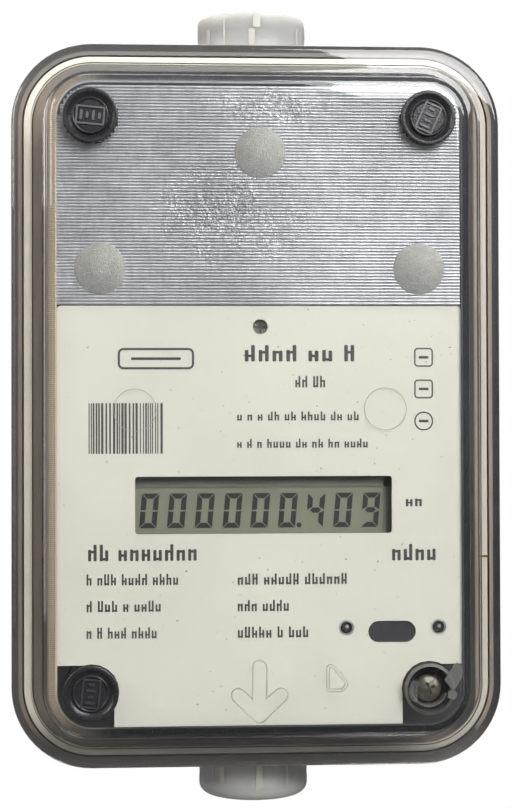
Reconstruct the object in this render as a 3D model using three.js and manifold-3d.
// An in-line domestic gas meter: a die-cast rear housing with a threaded port at each end, a fluidic
// measuring block and the electronics inside it, and a clear front cover screwed on over a cord gasket.
// Millimetres. +Z is up, the front faces -Y, and the origin is the centre of the flat rear face.
// Both ports share one vertical axis, at x = 0 and y = PIPE_Y.

import * as THREE from "three";
import { mergeVertices } from "three/addons/utils/BufferGeometryUtils.js";
import Module from "manifold-3d";

const wasm = await Module();
wasm.setup();

// ---------------------------------------------------------------- driving dimensions

const GAP = 0.3; // between pieces that rest on each other
const PAST = 1; // how far a cutting tool runs past the face that it cuts

// depths along Y, from the rear face towards the front
const RIM_Y = -46; // front face of the housing rim
const COVER_BACK_Y = RIM_Y - GAP;
const FLANGE_FRONT_Y = -49.5;
const COVER_INNER_Y = -61.6; // inner face of the window
const COVER_FRONT_Y = -64;
const PIPE_Y = -23.5;

// outlines as width, height and corner radius
const FLANGE = { w: 122.2, h: 180.2, r: 20 };
const GASKET_INSET = 4; // from the flange edge to the gasket's centre line
const GASKET_WIDTH = 1.9;
const GROOVE_WIDTH = 2.6;
const GROOVE_DEPTH = 2;
const GASKET_JOINT = { z: -38.3, width: 0.5 };
const PLATEAU_BASE = { w: 106, h: 165.4, r: 12 };
const PLATEAU_TOP = { w: 102, h: 159.2, r: 10.5 };
const PLATEAU_FILLET = 2;
const COVER_WALL = 1.8;
const REAR_WALL = 3.5;

// housing: outlines from the rear face to the rim, its cavity and the posts inside it
const HOUSING_LEVELS = [
  [{ w: 107, h: 165, r: 14 }, 0],
  [{ w: 110, h: 168, r: 15.5 }, -1.5],
  [{ w: 113.5, h: 171.5, r: 17 }, -38.5],
  [FLANGE, -41.5],
  [FLANGE, RIM_Y],
];
const HOUSING_CORNER_STEPS = 12;
const CAVITY_BACK = { w: 102, h: 160, r: 10 };
const CAVITY_RIM = { w: 106, h: 164, r: 12 };
const BACK_PANEL = { w: 86, h: 58, r: 5, z: 40, depth: 0.8 };
const COVER_POST_R = 6.5;
const TRAY_POST_R = 3.4;
const WEB_THICKNESS = 2.5;

// cover screws and the seals over them
const SCREW_X = 40.8;
const SCREW_Z = 69.15;
const CORNERS = {
  top_left: [-SCREW_X, SCREW_Z],
  top_right: [SCREW_X, SCREW_Z],
  bottom_left: [-SCREW_X, -SCREW_Z],
  bottom_right: [SCREW_X, -SCREW_Z],
};
const BOSS_R = 6.4;
const SEAL_HOLE_R = 5.4;
const BOSS_FLOOR_Y = -58.6; // floor of the well that holds a screw head and its seal
const SEAL = { backY: -61.8, bodyR: 5.1, rimR: 6.7 };
const M4 = { shank: 1.95, hole: 2.3, head: 3.5, height: 2.8, endY: -35 };

// ports, G 3/4 thread
const THREAD_R = 13.22;
const THREAD_ROOT_R = 12.3;
const THREAD_PITCH = 1.814;
const BORE_R = 9.5;
const SHANK_R = 11.9;
const PORT_HOLE_R = 12.3;
const PORT_BOSS_R = 17;
const PORT_FACE_Z = 88; // outer face of the port boss
const PORT_INNER_Z = 78.2; // inner face of the port boss
const COLLAR = { r: 15.2, height: 1.6 };
const O_RING = { r: 13.2, cord: 0.85, seatDepth: 2 };
const LOCK_NUT = { r: 18.4, height: 4.5 };
const FILTER = { startZ: 75, thickness: 1.2, pitch: 3, hole: 2.2 };
const NIPPLE_END_Z = 99.5;
const NIPPLE_INNER_Z = 66.6;
const CAP = { inner: 13.4, outer: 14.2, foot: 0.25, end: 1.6, fillet: 2, startZ: 90 };

// measuring block
const BLOCK = { w: 48, h: 142, backY: -REAR_WALL - GAP, frontY: -37 };
const BLOCK_SOCKET_Z = 66; // where a nipple's inner end stops in the block
const POCKET = { w: 40, h: 96, floorY: -26 };
const LID_THICKNESS = 2.4;
const LID_Y = BLOCK.frontY - 0.9;
const LID_FRONT_Y = LID_Y - LID_THICKNESS;
const LID_SCREWS = [
  [-20, 65],
  [20, 65],
  [-20, -65],
  [20, -65],
];
const SENSOR = { x: 11, z: 12, r: 5, leadR: 0.9 };
const PAN_HEADS = {
  lid: { head: 2.8, height: 1.5, shank: 1.4, endY: -29 },
  tray: { head: 2.3, height: 1.6, shank: 1.2, endY: -33 },
  board: { head: 2.6, height: 1.6, shank: 1.1, endY: -44 },
  tallBoard: { head: 2.6, height: 7.4, shank: 1.1, endY: -44 },
};

// electronics
const TRAY = { w: 104.6, h: 162.6, r: 11.3 };
const TRAY_Y = -42.2;
const TRAY_THICKNESS = 2;
const TRAY_FRONT_Y = TRAY_Y - TRAY_THICKNESS;
const TRAY_SCREWS = [
  [-49.6, 36],
  [49.6, 36],
  [-49.6, -36],
  [49.6, -36],
];
const PILLARS = [
  [-45.8, 10],
  [45.8, 10],
  [-45.8, -34],
  [45.8, -34],
];
const BOARD = { w: 94, top: 22, bottom: -58, y: -50, thickness: 1.6 };
const BOARD_FRONT_Y = BOARD.y - BOARD.thickness;
const PLATE = { w: 97.8, top: 23.7, bottom: -77.5, y: -59.9, thickness: 1.1, r: 1 };
const PLATE_FRONT_Y = PLATE.y - PLATE.thickness;
const PLATE_NOTCHES = [
  { side: -1, edgeX: -35.3, topZ: -62.75 },
  { side: 1, edgeX: 34.3, topZ: -63.2 },
];
const DISPLAY = { x: 0.8, z: -24.5, w: 62.2, h: 13.9 };
const DISPLAY_GLASS = { w: 68, h: 19, y: -56.8, thickness: 2.8 };
const BEZEL = { w: 73, h: 24, r: 1.2, height: 7.4 };
const ZEBRA = { offset: 8, w: 62, h: 2, y: -53.5, thickness: 3.4 };
const PORT_LIGHTS = { left: 20.7, right: 43.2, z: -54.3, hole: 1.85, r: 1.5 };
const PORT_WINDOW = { x: 31.8, z: -55.3, w: 11.6, h: 5.2 };
const ACCESS_HOLE = { x: 0, z: 18.6, r: 1.85 };
const BOARD_SCREWS = {
  top: [ACCESS_HOLE.x, ACCESS_HOLE.z],
  left: [-39, -52],
  right: [12, -52],
};
const CELL = { r: 7.2, length: 50, x: -4, z: [43.6, 59.4], y: -53 };
const CELLS_MIDDLE_Z = (CELL.z[0] + CELL.z[1]) / 2;

const ROUND = 32; // facets on a full turn of a large round piece
const SMALL_ROUND = 20;

// ---------------------------------------------------------------- materials

const finish = (color, roughness, metalness = 0, opacity = 1) =>
  new THREE.MeshStandardMaterial({
    color,
    roughness,
    metalness,
    opacity,
    transparent: opacity < 1,
  });
const CAST = finish(0x2b2b2d, 0.55, 0.3);
const CLEAR = finish(0xdfe3e2, 0.12, 0, 0.35);
const MILKY = finish(0xcfd0c8, 0.4);
const SILICONE = finish(0xcac1b0, 0.7);
const BLACK_RUBBER = finish(0x1c1c1e, 0.45);
const STEEL = finish(0x9a978f, 0.35, 0.9);
const ALUMINIUM = finish(0xaeb1b4, 0.4, 0.9);
const BLACK_PLASTIC = finish(0x1f1f21, 0.6);
const WHITE_PANEL = finish(0xdcdacd, 0.6);
const BOARD_GREEN = finish(0x1f5a3a, 0.5);
const GLASS_GREEN = finish(0x7d8471, 0.3);
const BRASS = finish(0xb89a52, 0.35, 0.9);

// ---------------------------------------------------------------- shaping helpers

// A closed manifold solid of a three.js geometry, with its faces turned outwards.
function solid(geometry) {
  const bare = new THREE.BufferGeometry();
  bare.setAttribute("position", geometry.getAttribute("position"));
  if (geometry.index) bare.setIndex(geometry.index);
  const merged = mergeVertices(bare, 1e-4);
  const triVerts = new Uint32Array(merged.index.array);
  const vertProperties = merged.attributes.position.array;
  const made = new wasm.Manifold(new wasm.Mesh({ numProp: 3, vertProperties, triVerts }));
  if (made.volume() > 0) return made;
  triVerts.reverse();
  return new wasm.Manifold(new wasm.Mesh({ numProp: 3, vertProperties, triVerts }));
}

const join = (first, ...rest) => rest.reduce((sum, piece) => sum.add(piece), first);
const cut = (first, ...tools) => tools.reduce((left, tool) => left.subtract(tool), first);

// A solid's mesh, as the named mesh of one part.
function part(name, shape, material) {
  const mesh = shape.getMesh();
  const points = new Float32Array(mesh.numVert * 3);
  for (let i = 0; i < mesh.numVert; i++) {
    const start = i * mesh.numProp;
    points.set(mesh.vertProperties.subarray(start, start + 3), i * 3);
  }
  const geometry = new THREE.BufferGeometry();
  geometry.setAttribute("position", new THREE.BufferAttribute(points, 3));
  geometry.setIndex(new THREE.BufferAttribute(mesh.triVerts, 1));
  geometry.computeVertexNormals();
  const made = new THREE.Mesh(geometry, material);
  made.name = name;
  return made;
}

// A rounded rectangle in the XZ plane, centred on x, z.
function roundedRect(w, h, r, x = 0, z = 0) {
  const shape = new THREE.Shape();
  const [right, top] = [w / 2 - r, h / 2 - r];
  shape.absarc(x + right, z + top, r, 0, Math.PI / 2);
  shape.absarc(x - right, z + top, r, Math.PI / 2, Math.PI);
  shape.absarc(x - right, z - top, r, Math.PI, 1.5 * Math.PI);
  shape.absarc(x + right, z - top, r, 1.5 * Math.PI, 2 * Math.PI);
  return shape;
}

// A flat shape in the XZ plane, thickened from backY towards the front.
function slab(shape, backY, thickness, curveSegments = 6) {
  const settings = { depth: thickness, bevelEnabled: false, curveSegments };
  const geometry = new THREE.ExtrudeGeometry(shape, settings);
  geometry.rotateX(Math.PI / 2);
  geometry.translate(0, backY, 0);
  return solid(geometry);
}

// A box given by its centre and sizes.
function block(x, y, z, w, d, h) {
  const geometry = new THREE.BoxGeometry(w, d, h);
  geometry.translate(x, y, z);
  return solid(geometry);
}

// A round piece along Y at x, z, from backY to frontY.
function rod(x, z, r, backY, frontY, facets = SMALL_ROUND) {
  const geometry = new THREE.CylinderGeometry(r, r, backY - frontY, facets);
  geometry.translate(x, (backY + frontY) / 2, z);
  return solid(geometry);
}

// A round piece along Z on the pipe axis, from lowZ to highZ.
function pipeRod(r, lowZ, highZ, facets = ROUND) {
  const geometry = new THREE.CylinderGeometry(r, r, highZ - lowZ, facets);
  geometry.rotateX(Math.PI / 2);
  geometry.translate(0, PIPE_Y, (lowZ + highZ) / 2);
  return solid(geometry);
}

// A closed profile of [radius, height] points turned about the pipe axis, upright.
function pipeTurned(profile, facets = ROUND) {
  const points = [...profile, profile[0]].map(([r, z]) => new THREE.Vector2(r, z));
  const geometry = new THREE.LatheGeometry(points, facets);
  geometry.rotateX(Math.PI / 2);
  geometry.translate(0, PIPE_Y, 0);
  return solid(geometry);
}

// The same piece at the other port.
function flipped(shape) {
  return shape.rotate([0, 180, 0]);
}

// One ring of a rounded rectangle at depth y.
function ring({ w, h, r }, y, steps) {
  const points = [];
  [
    [1, 1],
    [-1, 1],
    [-1, -1],
    [1, -1],
  ].forEach(([sx, sz], quarter) => {
    for (let i = 0; i <= steps; i++) {
      const angle = ((quarter + i / steps) * Math.PI) / 2;
      points.push([sx * (w / 2 - r) + r * Math.cos(angle), y, sz * (h / 2 - r) + r * Math.sin(angle)]);
    }
  });
  return points;
}

// A solid skinned over rounded rectangles, each given as [outline, depth].
function loft(levels, steps = 7) {
  const rings = levels.map(([outline, y]) => ring(outline, y, steps));
  const count = rings[0].length;
  const points = rings.flat();
  const faces = [];
  for (let level = 0; level + 1 < rings.length; level++) {
    for (let i = 0; i < count; i++) {
      const [a, b] = [level * count + i, level * count + ((i + 1) % count)];
      faces.push(a, b, b + count, a, b + count, a + count);
    }
  }
  const last = (rings.length - 1) * count;
  for (let i = 1; i + 1 < count; i++) {
    faces.push(0, i + 1, i, last, last + i, last + i + 1);
  }
  const geometry = new THREE.BufferGeometry();
  geometry.setAttribute("position", new THREE.Float32BufferAttribute(points.flat(), 3));
  geometry.setIndex(faces);
  return solid(geometry);
}

// An outline grown outwards by a distance, or shrunk by a negative one.
const grown = ({ w, h, r }, by) => ({ w: w + 2 * by, h: h + 2 * by, r: r + by });

// A band of a given width that follows the flange's edge at an inset, as a flat shape.
function bandAlongFlange(inset, width) {
  const outside = grown(FLANGE, width / 2 - inset);
  const inside = grown(FLANGE, -width / 2 - inset);
  const shape = roundedRect(outside.w, outside.h, outside.r);
  shape.holes.push(roundedRect(inside.w, inside.h, inside.r));
  return shape;
}

// The same piece at each of a list of x, z places.
const at = (places, make) => Object.values(places).map(([x, z]) => make(x, z));

// A pan-head screw along Y: its head from headY towards the front, and its shank behind.
function screw(x, z, headY, { head, height, shank, endY }, facets = 12) {
  const frontY = headY - height;
  const recessDepth = Math.min(height, 3);
  const recess = join(
    block(x, frontY, z, 0.28 * head, recessDepth, 1.1 * head),
    block(x, frontY, z, 1.1 * head, recessDepth, 0.28 * head),
  );
  const pan = rod(x, z, head, headY, frontY, facets);
  const body = rod(x, z, shank, endY, headY - height / 2, facets);
  return cut(join(pan, body), recess);
}

// A cylinder lying along X.
function lying(x, y, z, r, length, facets = SMALL_ROUND) {
  const geometry = new THREE.CylinderGeometry(r, r, length, facets);
  geometry.rotateZ(Math.PI / 2);
  geometry.translate(x, y, z);
  return solid(geometry);
}

// ---------------------------------------------------------------- housing

function rearHousing() {
  const outside = loft(HOUSING_LEVELS, HOUSING_CORNER_STEPS);
  const cavity = loft([
    [CAVITY_BACK, -REAR_WALL],
    [CAVITY_RIM, RIM_Y - PAST],
  ]);
  const port = pipeRod(PORT_BOSS_R, 80, PORT_FACE_Z);
  const shell = cut(join(outside, port, flipped(port)), cavity);
  const bossZ = 80.5;
  const insideBoss = block(0, PIPE_Y, bossZ, 38, 36, 2 * (bossZ - PORT_INNER_Z));

  const footY = -REAR_WALL + PAST;
  const trayRestY = TRAY_Y + GAP;
  const webDepth = footY - trayRestY;
  const webY = trayRestY + webDepth / 2;
  const posts = at(CORNERS, (x, z) => rod(x, z, COVER_POST_R, footY, RIM_Y));
  const sideWebs = at(CORNERS, (x, z) =>
    block(Math.sign(x) * 49, webY, z, 8, webDepth, WEB_THICKNESS),
  );
  const endWebs = at(CORNERS, (x, z) =>
    block(x, webY, Math.sign(z) * 78, WEB_THICKNESS, webDepth, 8),
  );
  const trayPosts = at(TRAY_SCREWS, (x, z) => rod(x, z, TRAY_POST_R, footY, trayRestY, 16));
  const body = join(
    shell,
    insideBoss,
    flipped(insideBoss),
    ...posts,
    ...sideWebs,
    ...endWebs,
    ...trayPosts,
  );

  const backPanels = [-1, 1].map((side) => {
    const outline = roundedRect(BACK_PANEL.w, BACK_PANEL.h, BACK_PANEL.r, 0, side * BACK_PANEL.z);
    return slab(outline, PAST, PAST + BACK_PANEL.depth);
  });
  const grooveShape = bandAlongFlange(GASKET_INSET, GROOVE_WIDTH);
  const groove = slab(grooveShape, RIM_Y + GROOVE_DEPTH, GROOVE_DEPTH + PAST, 8);
  const portHole = pipeRod(PORT_HOLE_R, 70, 100);
  const sealSeat = pipeRod(14.4, PORT_FACE_Z - O_RING.seatDepth, PORT_FACE_Z + PAST);
  return cut(
    body,
    groove,
    portHole,
    flipped(portHole),
    sealSeat,
    flipped(sealSeat),
    ...at(CORNERS, (x, z) => rod(x, z, M4.hole, -30, RIM_Y - PAST, 16)),
    ...at(TRAY_SCREWS, (x, z) => rod(x, z, 1.5, -32, TRAY_Y, 10)),
    ...backPanels,
  );
}

function caseGasket() {
  const seat = RIM_Y + GROOVE_DEPTH - 0.1;
  const band = slab(bandAlongFlange(GASKET_INSET, GASKET_WIDTH), seat, seat - RIM_Y + 0.2, 8);
  const joint = block(FLANGE.w / 2 - GASKET_INSET, seat, GASKET_JOINT.z, 6, 10, GASKET_JOINT.width);
  return cut(band, joint);
}

// ---------------------------------------------------------------- ports

// A port's nipple: bore, shank through the housing, collar and outer thread.
function nipple() {
  const threadStart = PORT_FACE_Z + COLLAR.height + 0.1;
  const turns = Math.floor((NIPPLE_END_Z - threadStart) / THREAD_PITCH);
  const thread = [];
  for (let i = 0; i < turns; i++) {
    const start = threadStart + i * THREAD_PITCH;
    thread.push([THREAD_ROOT_R, start + 0.25 * THREAD_PITCH]);
    thread.push([THREAD_R, start + 0.65 * THREAD_PITCH]);
    thread.push([THREAD_R, start + 0.8 * THREAD_PITCH]);
  }
  return pipeTurned([
    [BORE_R, NIPPLE_INNER_Z],
    [SHANK_R, NIPPLE_INNER_Z],
    [SHANK_R, PORT_FACE_Z + 0.1],
    [COLLAR.r, PORT_FACE_Z + 0.1],
    [COLLAR.r, threadStart],
    ...thread,
    [THREAD_ROOT_R, NIPPLE_END_Z],
    [BORE_R, NIPPLE_END_Z],
  ]);
}

function sealRing() {
  const geometry = new THREE.TorusGeometry(O_RING.r, O_RING.cord, 8, ROUND);
  geometry.translate(0, PIPE_Y, PORT_FACE_Z - O_RING.seatDepth / 2);
  return solid(geometry);
}

// A hexagonal nut on the shank, against the inner face of the port boss.
function lockNut() {
  const { r, height } = LOCK_NUT;
  const hexagon = new THREE.CylinderGeometry(r, r, height, 6);
  hexagon.rotateY(Math.PI / 6);
  hexagon.rotateX(Math.PI / 2);
  hexagon.translate(0, PIPE_Y, PORT_INNER_Z - GAP - height / 2);
  return cut(solid(hexagon), pipeRod(SHANK_R + 0.2, 70, 80));
}

// The inlet screen: a flat disc with a grid of square holes.
function inletFilter() {
  const { startZ, thickness, pitch, hole } = FILTER;
  const disc = pipeRod(BORE_R - GAP, startZ, startZ + thickness);
  const holes = [];
  for (let i = -2; i <= 2; i++) {
    for (let j = -2; j <= 2; j++) {
      const inside = Math.hypot(i, j) < 2.6;
      if (inside) holes.push(block(i * pitch, PIPE_Y + j * pitch, startZ + 1, hole, hole, 6));
    }
  }
  return cut(disc, ...holes);
}

// A push-on cap over the thread.
function threadCap() {
  const end = NIPPLE_END_Z + GAP + CAP.end;
  const rounded = [];
  for (let i = 0; i <= 4; i++) {
    const angle = (i / 4) * (Math.PI / 2);
    rounded.push([
      CAP.outer - CAP.fillet * (1 - Math.cos(angle)),
      end - CAP.fillet * (1 - Math.sin(angle)),
    ]);
  }
  return pipeTurned(
    [
      [CAP.inner, CAP.startZ],
      [CAP.outer + CAP.foot, CAP.startZ],
      [CAP.outer + CAP.foot, CAP.startZ + 0.8],
      [CAP.outer, CAP.startZ + 1.2],
      ...rounded,
      [0, end],
      [0, end - CAP.end],
      [CAP.inner, end - CAP.end],
    ],
    40,
  );
}

// ---------------------------------------------------------------- measuring block

function flowBlock() {
  const depth = BLOCK.backY - BLOCK.frontY;
  const body = slab(roundedRect(BLOCK.w, BLOCK.h, 4), BLOCK.backY, depth, 4);
  const pocket = slab(roundedRect(POCKET.w, POCKET.h, 3), POCKET.floorY, 20, 4);
  const channel = join(pipeRod(BORE_R, 38, 80), pipeRod(SHANK_R + GAP, BLOCK_SOCKET_Z, 80));
  const screwHoles = at(LID_SCREWS, (x, z) => rod(x, z, 1.7, -28, -40, 12));
  return cut(body, pocket, channel, flipped(channel), ...screwHoles);
}

// The plate whose channels make the gas jet swing: nozzle, chamber and two feedback loops.
function oscillatorPlate() {
  const plate = roundedRect(POCKET.w - 0.8, POCKET.h - 0.8, 2.6);
  const jet = new THREE.Path();
  jet.moveTo(-6, 40);
  jet.lineTo(-1.5, 26);
  jet.lineTo(-1.5, 16);
  jet.lineTo(-6, 0);
  jet.lineTo(-5, -18);
  jet.lineTo(-8, -40);
  jet.lineTo(8, -40);
  jet.lineTo(5, -18);
  jet.lineTo(6, 0);
  jet.lineTo(1.5, 16);
  jet.lineTo(1.5, 26);
  jet.lineTo(6, 40);
  plate.holes.push(jet);
  for (const side of [-1, 1]) {
    const loop = new THREE.Path();
    loop.absarc(side * 12.5, 18, 2.5, 0, Math.PI);
    loop.absarc(side * 12.5, -18, 2.5, Math.PI, 2 * Math.PI);
    plate.holes.push(loop);
  }
  return slab(plate, POCKET.floorY - GAP, 4.5, 6);
}

function blockGasket() {
  const frame = roundedRect(BLOCK.w - 1, BLOCK.h - 1, 3.6);
  frame.holes.push(roundedRect(POCKET.w + 1, POCKET.h + 1, 3));
  const screwHoles = at(LID_SCREWS, (x, z) => rod(x, z, 1.8, -30, -40, 12));
  return cut(slab(frame, BLOCK.frontY - 0.1, 0.7, 4), ...screwHoles);
}

function blockLid() {
  const plate = slab(roundedRect(BLOCK.w, BLOCK.h, 4), LID_Y, LID_THICKNESS, 4);
  return cut(
    plate,
    ...at(LID_SCREWS, (x, z) => rod(x, z, 1.8, -30, -45, 12)),
    ...[-1, 1].map((side) => rod(side * SENSOR.x, SENSOR.z, SENSOR.r + GAP, -30, -45)),
  );
}

// A pressure pick-up in the lid, and the lead from it to the board.
function flowSensor(side) {
  const body = rod(side * SENSOR.x, SENSOR.z, SENSOR.r, -33, LID_FRONT_Y - 1.6);
  const rim = rod(side * SENSOR.x, SENSOR.z, SENSOR.r + 1, LID_FRONT_Y - 0.2, LID_FRONT_Y - 1.6);
  return join(body, rim);
}

function sensorLead(side) {
  return rod(side * SENSOR.x, SENSOR.z, SENSOR.leadR, LID_FRONT_Y - 1.8, BOARD.y + 0.2, 10);
}

// ---------------------------------------------------------------- electronics

// The tray between the measuring block and the electronics, with its pillars.
function electronicsTray() {
  const plate = slab(roundedRect(TRAY.w, TRAY.h, TRAY.r), TRAY_Y, TRAY_THICKNESS, 6);
  const pillars = at(PILLARS, (x, z) => rod(x, z, 2, TRAY_Y - 1, PLATE.y + 0.2, 12));
  const seats = at(BOARD_SCREWS, (x, z) => rod(x, z, 2.8, TRAY_Y - 1, BOARD.y + 0.1, 14));
  return cut(
    join(plate, ...pillars, ...seats),
    ...at(CORNERS, (x, z) => rod(x, z, 7, -30, -60)),
    ...[-1, 1].map((side) => rod(side * SENSOR.x, SENSOR.z, 2.5, -30, -46, 12)),
    ...at(BOARD_SCREWS, (x, z) => rod(x, z, 1.3, TRAY_Y - 0.5, BOARD.y - 2, 10)),
    ...at(TRAY_SCREWS, (x, z) => rod(x, z, 1.6, -30, -46, 12)),
  );
}

function circuitBoard() {
  const middle = (BOARD.top + BOARD.bottom) / 2;
  const outline = roundedRect(BOARD.w, BOARD.top - BOARD.bottom, 2, 0, middle);
  return cut(
    slab(outline, BOARD.y, BOARD.thickness, 3),
    ...at(BOARD_SCREWS, (x, z) => rod(x, z, 1.5, -45, -55, 12)),
    ...[-1, 1].map((side) => rod(side * SENSOR.x, SENSOR.z, 1.2, -45, -55, 10)),
    ...at(PILLARS, (x, z) => rod(x, z, 2.4, -45, -55, 12)),
  );
}

// The frame round the display glass, with a seat for the glass and a window through it.
function displayBezel() {
  const { x, z } = DISPLAY;
  const outside = slab(roundedRect(BEZEL.w, BEZEL.h, BEZEL.r, x, z), BOARD_FRONT_Y - 0.1, BEZEL.height, 3);
  const seat = block(x, -54.5, z, DISPLAY_GLASS.w + 0.6, 8, DISPLAY_GLASS.h + 0.6);
  const window = block(x, -56, z, 64, 10, 15.4);
  return cut(outside, seat, window);
}

function displayGlass() {
  const { w, h, y, thickness } = DISPLAY_GLASS;
  return block(DISPLAY.x, y, DISPLAY.z, w, thickness, h);
}

// One of the two conductive rubber strips between the display glass and the board.
function zebraStrip(side) {
  const { offset, w, h, y, thickness } = ZEBRA;
  return block(DISPLAY.x, y, DISPLAY.z + side * offset, w, thickness, h);
}

// An infrared diode: foot, body and domed tip.
function portDiode(x) {
  const { z, r } = PORT_LIGHTS;
  const dome = new THREE.SphereGeometry(r, 14, 8);
  dome.translate(x, PLATE_FRONT_Y + r + 0.3, z);
  return join(
    rod(x, z, 1.9, BOARD_FRONT_Y - 0.1, BOARD_FRONT_Y - 1.1, 14),
    rod(x, z, r, BOARD_FRONT_Y - 0.6, PLATE_FRONT_Y + r + 0.3, 14),
    solid(dome),
  );
}

function portWindow() {
  const { x, z, w, h } = PORT_WINDOW;
  const flange = slab(roundedRect(w + 2, h + 2, h / 2 + 0.99, x, z), PLATE.y + 2.4, 2.2, 8);
  const insert = slab(roundedRect(w - 0.4, h - 0.4, h / 2 - 0.21, x, z), PLATE.y + 1, 1.6, 8);
  return join(flange, insert);
}

// The printed plate, with its openings and a notch round each lower cover boss: beside the boss
// the notch starts at topZ, and below the boss it reaches inward to edgeX.
function facePlate() {
  const middle = (PLATE.top + PLATE.bottom) / 2;
  const outline = roundedRect(PLATE.w, PLATE.top - PLATE.bottom, PLATE.r, 0, middle);
  for (const { x, z, w, h, r } of [
    { ...DISPLAY, r: 0.8 },
    { ...PORT_WINDOW, r: PORT_WINDOW.h / 2 - 0.01 },
  ]) {
    outline.holes.push(roundedRect(w, h, r, x, z));
  }
  const holes = [
    [ACCESS_HOLE.x, ACCESS_HOLE.z, ACCESS_HOLE.r],
    [PORT_LIGHTS.left, PORT_LIGHTS.z, PORT_LIGHTS.hole],
    [PORT_LIGHTS.right, PORT_LIGHTS.z, PORT_LIGHTS.hole],
    [-SCREW_X, -SCREW_Z, BOSS_R + GAP],
    [SCREW_X, -SCREW_Z, BOSS_R + GAP],
  ];
  const size = 20;
  const notch = (side, x, z) => block(x + side * (size / 2), PLATE.y, z - size / 2, size, 8, size);
  const notches = PLATE_NOTCHES.flatMap(({ side, edgeX, topZ }) => [
    notch(side, side * SCREW_X, topZ),
    notch(side, edgeX, -SCREW_Z),
  ]);
  return cut(
    slab(outline, PLATE.y, PLATE.thickness, 6),
    ...holes.map(([x, z, r]) => rod(x, z, r, -50, -70)),
    ...notches,
  );
}

// A part on the board, given by its centre and sizes.
function boardChip(x, z, w, h, height) {
  return block(x, BOARD_FRONT_Y - 0.1 - height / 2, z, w, height, h);
}

// One lithium cell with the button on its right end.
function batteryCell(z) {
  return join(
    lying(CELL.x, CELL.y, z, CELL.r, CELL.length),
    lying(CELL.x + CELL.length / 2, CELL.y, z, 2.6, 3, 14),
  );
}

const contactX = (side) => CELL.x + 0.5 + side * (CELL.length / 2 + 2.6);

// The tray for both cells, with a round bed under each and a slot at each end for a contact.
function batteryHolder() {
  const x = CELL.x + 0.5;
  const body = block(x, -49.2, CELLS_MIDDLE_Z, CELL.length + 10, 9.6, 34);
  const beds = CELL.z.map((z) => lying(x, CELL.y, z, CELL.r + GAP, CELL.length + 6));
  const opening = block(x, -56.4, CELLS_MIDDLE_Z, CELL.length + 6, 8, 2 * CELL.r + 14);
  const slots = [-1, 1].map((side) => block(contactX(side), -52, CELLS_MIDDLE_Z, 1, 6, 27));
  return cut(body, ...beds, opening, ...slots);
}

function batteryContact(side) {
  return block(contactX(side), -51.5, CELLS_MIDDLE_Z, 0.4, 4.4, 26);
}

// ---------------------------------------------------------------- front cover

function frontCover() {
  const flange = loft([
    [FLANGE, COVER_BACK_Y],
    [FLANGE, FLANGE_FRONT_Y + 0.9],
    [grown(FLANGE, -0.9), FLANGE_FRONT_Y],
  ]);
  const fillet = [0, 0.25, 0.5, 0.75, 1].map((share) => {
    const angle = (share * Math.PI) / 2;
    const inwards = PLATEAU_FILLET * (1 - Math.cos(angle));
    const y = COVER_FRONT_Y + PLATEAU_FILLET * (1 - Math.sin(angle));
    return [grown(PLATEAU_TOP, -inwards), y];
  });
  const plateau = loft([
    [PLATEAU_BASE, FLANGE_FRONT_Y + PAST],
    [PLATEAU_BASE, FLANGE_FRONT_Y],
    ...fillet,
  ]);
  const cavity = loft([
    [grown(PLATEAU_BASE, -COVER_WALL), COVER_BACK_Y + PAST],
    [grown(PLATEAU_TOP, -COVER_WALL), COVER_INNER_Y],
  ]);
  const bosses = at(CORNERS, (x, z) => rod(x, z, BOSS_R, COVER_BACK_Y, COVER_INNER_Y - 1, 28));
  return cut(
    join(cut(join(flange, plateau), cavity), ...bosses),
    ...at(CORNERS, (x, z) => rod(x, z, M4.hole, RIM_Y + PAST, -60, 16)),
    ...at(CORNERS, (x, z) => rod(x, z, SEAL_HOLE_R, BOSS_FLOOR_Y, COVER_FRONT_Y - PAST, 28)),
  );
}

const coverScrew = (x, z) => screw(x, z, BOSS_FLOOR_Y - 0.1, M4, 20);

// A seal cup over a screw: a body in the well, a rim on the window and a dished middle.
function sealPlug(x, z) {
  const profile = [
    [0, SEAL.backY],
    [SEAL.bodyR, SEAL.backY],
    [SEAL.bodyR, COVER_FRONT_Y - 0.1],
    [SEAL.rimR, COVER_FRONT_Y - 0.1],
    [SEAL.rimR, COVER_FRONT_Y - 0.6],
    [SEAL.rimR - 0.4, COVER_FRONT_Y - 0.9],
    [SEAL.rimR - 0.9, COVER_FRONT_Y - 0.9],
    [4.6, COVER_FRONT_Y + 0.3],
    [0, COVER_FRONT_Y + 0.1],
  ];
  const points = profile.map(([r, y]) => new THREE.Vector2(r, y));
  const geometry = new THREE.LatheGeometry(points, 20);
  geometry.translate(x, 0, z);
  return solid(geometry);
}

// What is left of the clear seal cup at the fourth screw: a collar, two prongs and a bent tab.
function brokenSeal(x, z) {
  const backY = BOSS_FLOOR_Y - 0.2;
  const collar = cut(rod(x, z, 4.4, backY, -62), rod(x, z, 3.8, backY + PAST, -62 - PAST));
  const prong = (side, frontY) => {
    const depth = backY - frontY;
    return block(x + side * 4.35, frontY + depth / 2, z - side * 0.3, 1, depth, 3);
  };
  const tab = new THREE.Shape();
  tab.moveTo(x + 3.9, z + 2.2);
  tab.quadraticCurveTo(x + 5.2, z + 4.4, x + 6.6, z + 6.4);
  tab.quadraticCurveTo(x + 7.6, z + 7, x + 8, z + 5.4);
  tab.quadraticCurveTo(x + 7, z + 2, x + 5.6, z - 2.2);
  tab.lineTo(x + 4.1, z - 2.2);
  tab.lineTo(x + 3.9, z + 2.2);
  const flap = slab(tab, COVER_FRONT_Y - 0.3, 0.9, 6);
  return join(collar, prong(-1, -63.6), prong(1, COVER_FRONT_Y - 0.8), flap);
}

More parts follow.
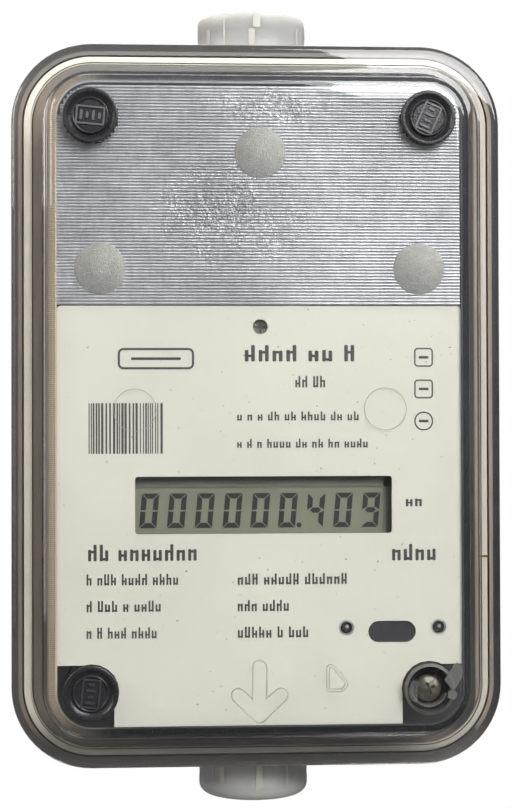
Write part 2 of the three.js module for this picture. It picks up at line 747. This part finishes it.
// ---------------------------------------------------------------- assembly

const meter = new THREE.Group();
const add = (name, shape, material) => meter.add(part(name, shape, material));

add("rear_housing", rearHousing(), CAST);
add("case_gasket", caseGasket(), SILICONE);

const fittings = {
  nipple: [nipple(), BRASS],
  o_ring: [sealRing(), BLACK_RUBBER],
  lock_nut: [lockNut(), BRASS],
  cap: [threadCap(), MILKY],
};
for (const [kind, [shape, material]] of Object.entries(fittings)) {
  add(`inlet_${kind}`, shape, material);
  add(`outlet_${kind}`, flipped(shape), material);
}
add("inlet_filter", inletFilter(), STEEL);

add("flow_block", flowBlock(), ALUMINIUM);
add("oscillator_plate", oscillatorPlate(), ALUMINIUM);
add("flow_block_gasket", blockGasket(), BLACK_RUBBER);
add("flow_block_lid", blockLid(), ALUMINIUM);
LID_SCREWS.forEach(([x, z], i) =>
  add(`lid_screw_${i + 1}`, screw(x, z, LID_FRONT_Y - 0.1, PAN_HEADS.lid), STEEL),
);
for (const [name, side] of [["left", -1], ["right", 1]]) {
  add(`flow_sensor_${name}`, flowSensor(side), STEEL);
  add(`sensor_lead_${name}`, sensorLead(side), BLACK_RUBBER);
  add(`battery_contact_${name}`, batteryContact(side), STEEL);
}

add("electronics_tray", electronicsTray(), BLACK_PLASTIC);
TRAY_SCREWS.forEach(([x, z], i) =>
  add(`tray_screw_${i + 1}`, screw(x, z, TRAY_FRONT_Y - 0.1, PAN_HEADS.tray), STEEL),
);
add("circuit_board", circuitBoard(), BOARD_GREEN);
for (const [name, [x, z]] of Object.entries(BOARD_SCREWS)) {
  const head = name === "top" ? PAN_HEADS.tallBoard : PAN_HEADS.board;
  add(`board_screw_${name}`, screw(x, z, BOARD_FRONT_Y - 0.1, head, 14), STEEL);
}
add("controller_chip", boardChip(-22, 4, 14, 14, 1.5), BLACK_PLASTIC);
add("crystal_can", boardChip(-8, 4, 4.6, 11, 3.4), STEEL);
add("board_connector", boardChip(30, 12, 16, 6, 5.5), WHITE_PANEL);
add("pulse_capacitor", lying(-22, BOARD_FRONT_Y - 3.7, -48, 3.5, 18), BLACK_PLASTIC);
add("lcd_bezel", displayBezel(), BLACK_PLASTIC);
add("lcd_glass", displayGlass(), GLASS_GREEN);
add("lcd_contact_upper", zebraStrip(1), BLACK_RUBBER);
add("lcd_contact_lower", zebraStrip(-1), BLACK_RUBBER);
add("ir_emitter", portDiode(PORT_LIGHTS.left), GLASS_GREEN);
add("ir_receiver", portDiode(PORT_LIGHTS.right), BLACK_PLASTIC);
add("port_window", portWindow(), BLACK_PLASTIC);
add("battery_holder", batteryHolder(), BLACK_PLASTIC);
CELL.z.forEach((z, i) => add(`battery_cell_${i + 1}`, batteryCell(z), STEEL));
add("faceplate", facePlate(), WHITE_PANEL);

add("front_cover", frontCover(), CLEAR);
for (const [name, [x, z]] of Object.entries(CORNERS)) {
  add(`cover_screw_${name}`, coverScrew(x, z), STEEL);
  if (name !== "bottom_right") add(`seal_plug_${name}`, sealPlug(x, z), BLACK_RUBBER);
}
add("broken_seal", brokenSeal(...CORNERS.bottom_right), CLEAR);

export default meter;
